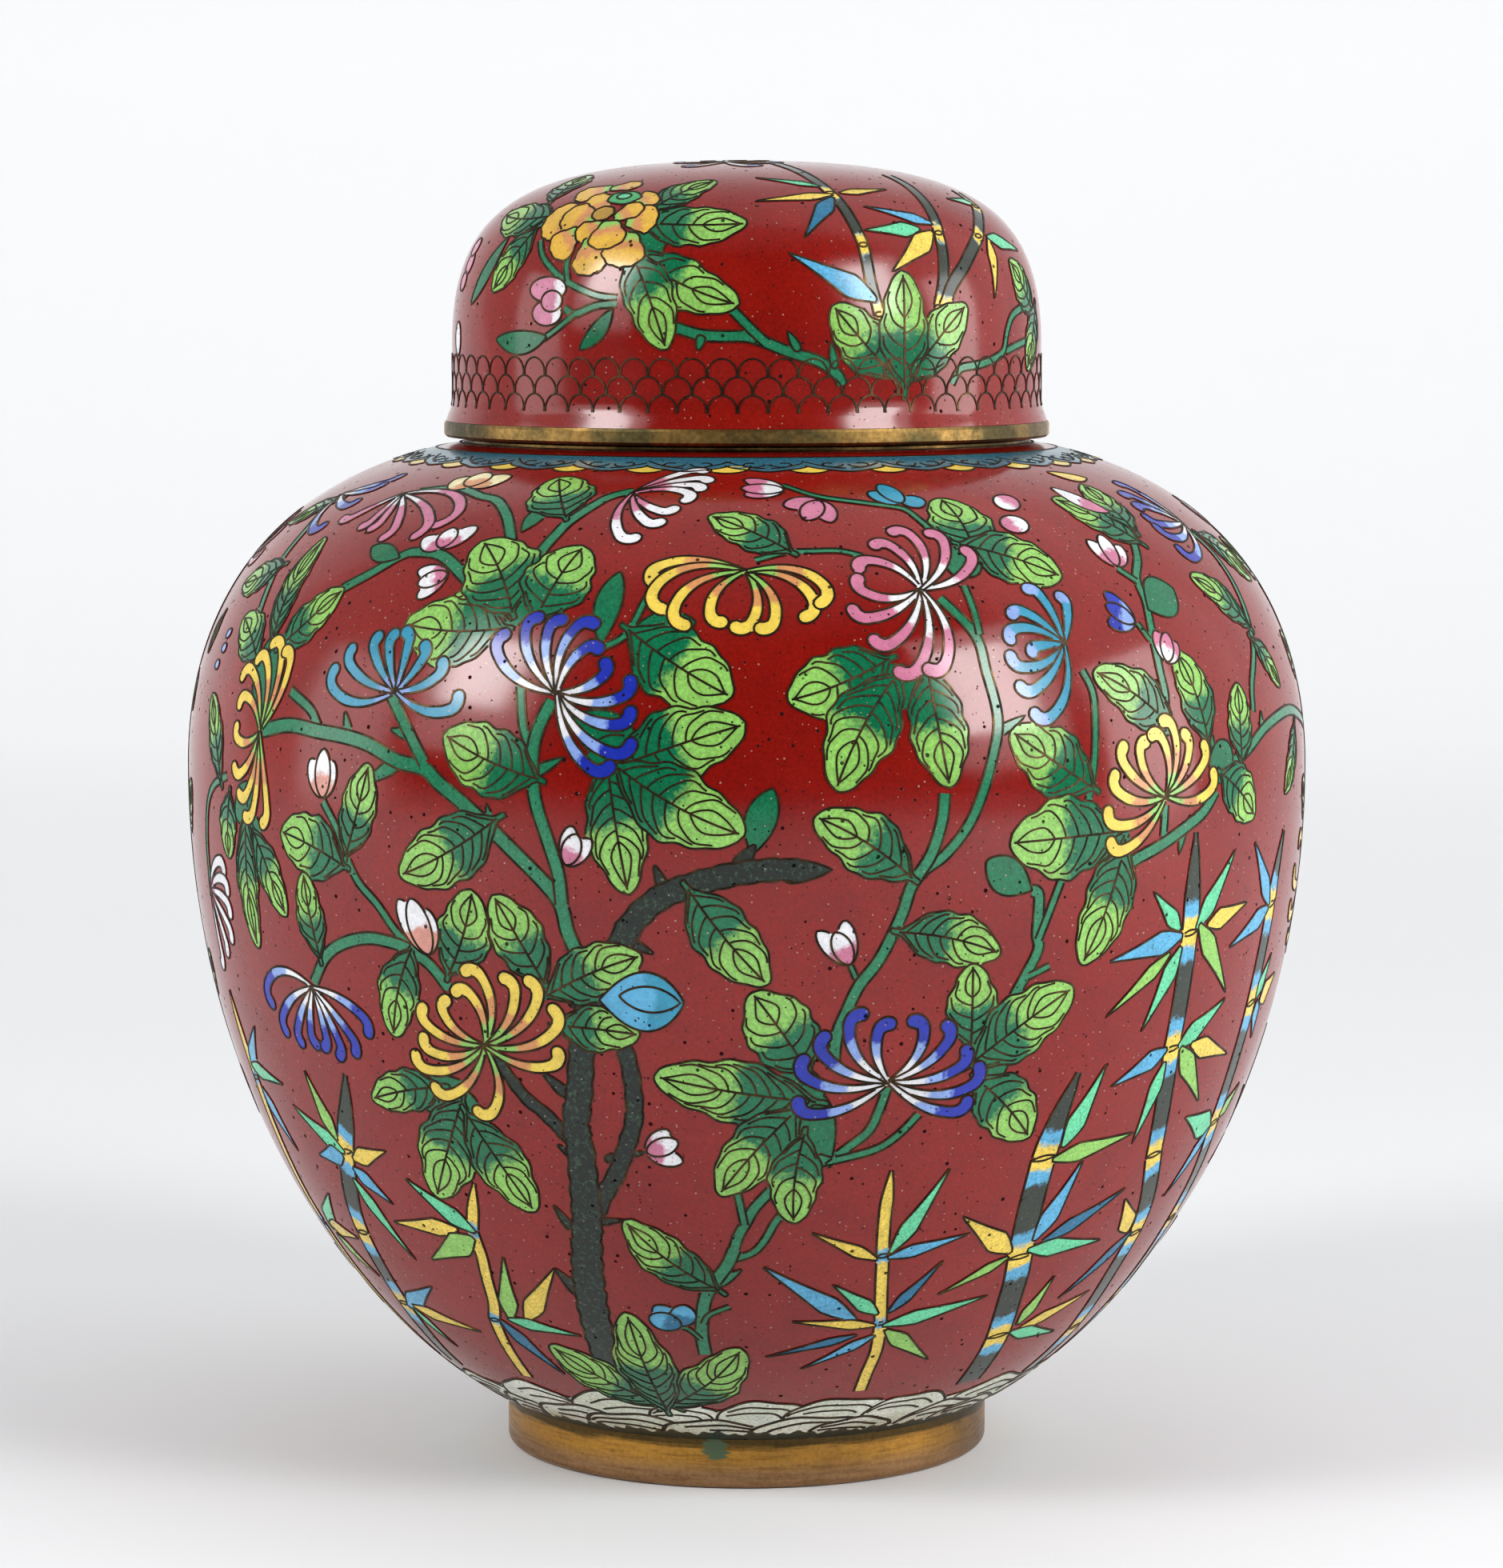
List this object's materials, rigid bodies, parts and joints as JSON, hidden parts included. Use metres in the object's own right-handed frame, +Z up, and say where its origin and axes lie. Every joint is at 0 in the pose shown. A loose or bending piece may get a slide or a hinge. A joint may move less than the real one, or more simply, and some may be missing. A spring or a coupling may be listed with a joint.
{
  "type": "lidded ginger jar",
  "caption": "Round-shouldered cloisonne jar on a ring foot, with a low neck and a domed lift-off lid, decorated with flowers and bamboo in wired enamel cells.",
  "frame": {"origin": "middle of the foot ring's underside", "axes": "+Z up through the lid, -Y towards the front of the scene, +X to its right"},
  "size_m": [0.1742, 0.1742, 0.201],
  "materials": {
    "copper": "satin copper",
    "foot_brass": "brown tarnished brass, worn brighter on the edge",
    "rim_brass": "satin brass with olive tarnish",
    "neck_brass": "satin brass",
    "wire": "dull tarnished wire",
    "red_enamel": "glossy, slightly pitted",
    "turquoise_enamel": "glossy",
    "rock_enamel": "glossy, clouded",
    "cloud_enamel": "glossy",
    "green_enamel": "glossy, dark green running into lime",
    "flower_enamel": "glossy, several colours shaded into white",
    "bamboo_enamel": "glossy, olive, blue, mint and yellow",
    "bark_enamel": "glossy, speckled black green"
  },
  "bodies": {
    "jar": {"foot_ring": "foot_brass", "base_plate": "copper", "base_enamel": "turquoise_enamel", "floor_lining": "turquoise_enamel", "lower_shell": "copper", "upper_shell": "copper", "lower_lining": "turquoise_enamel", "upper_lining": "turquoise_enamel", "neck_collar": "neck_brass", "mouth_rim": "rim_brass", "seat_ring": "neck_brass", "rock_band": "rock_enamel", "red_ground": "red_enamel", "cloud_border": "cloud_enamel", "neck_band": "red_enamel", "border_rings": "wire", "cloud_cloisons": "wire"},
    "lid": {"lid_shell": "copper", "lid_rim": "rim_brass", "lid_lining": "turquoise_enamel", "lid_foot_band": "red_enamel", "lid_scale_band": "red_enamel", "lid_dome_ground": "red_enamel", "scale_cloisons": "wire"}
  },
  "joints": [
    {"name": "lid_lift", "type": "slide", "parent": "jar", "child": "lid", "axis": [0, 0, 1], "range_m": [0, 0.06]}
  ]
}
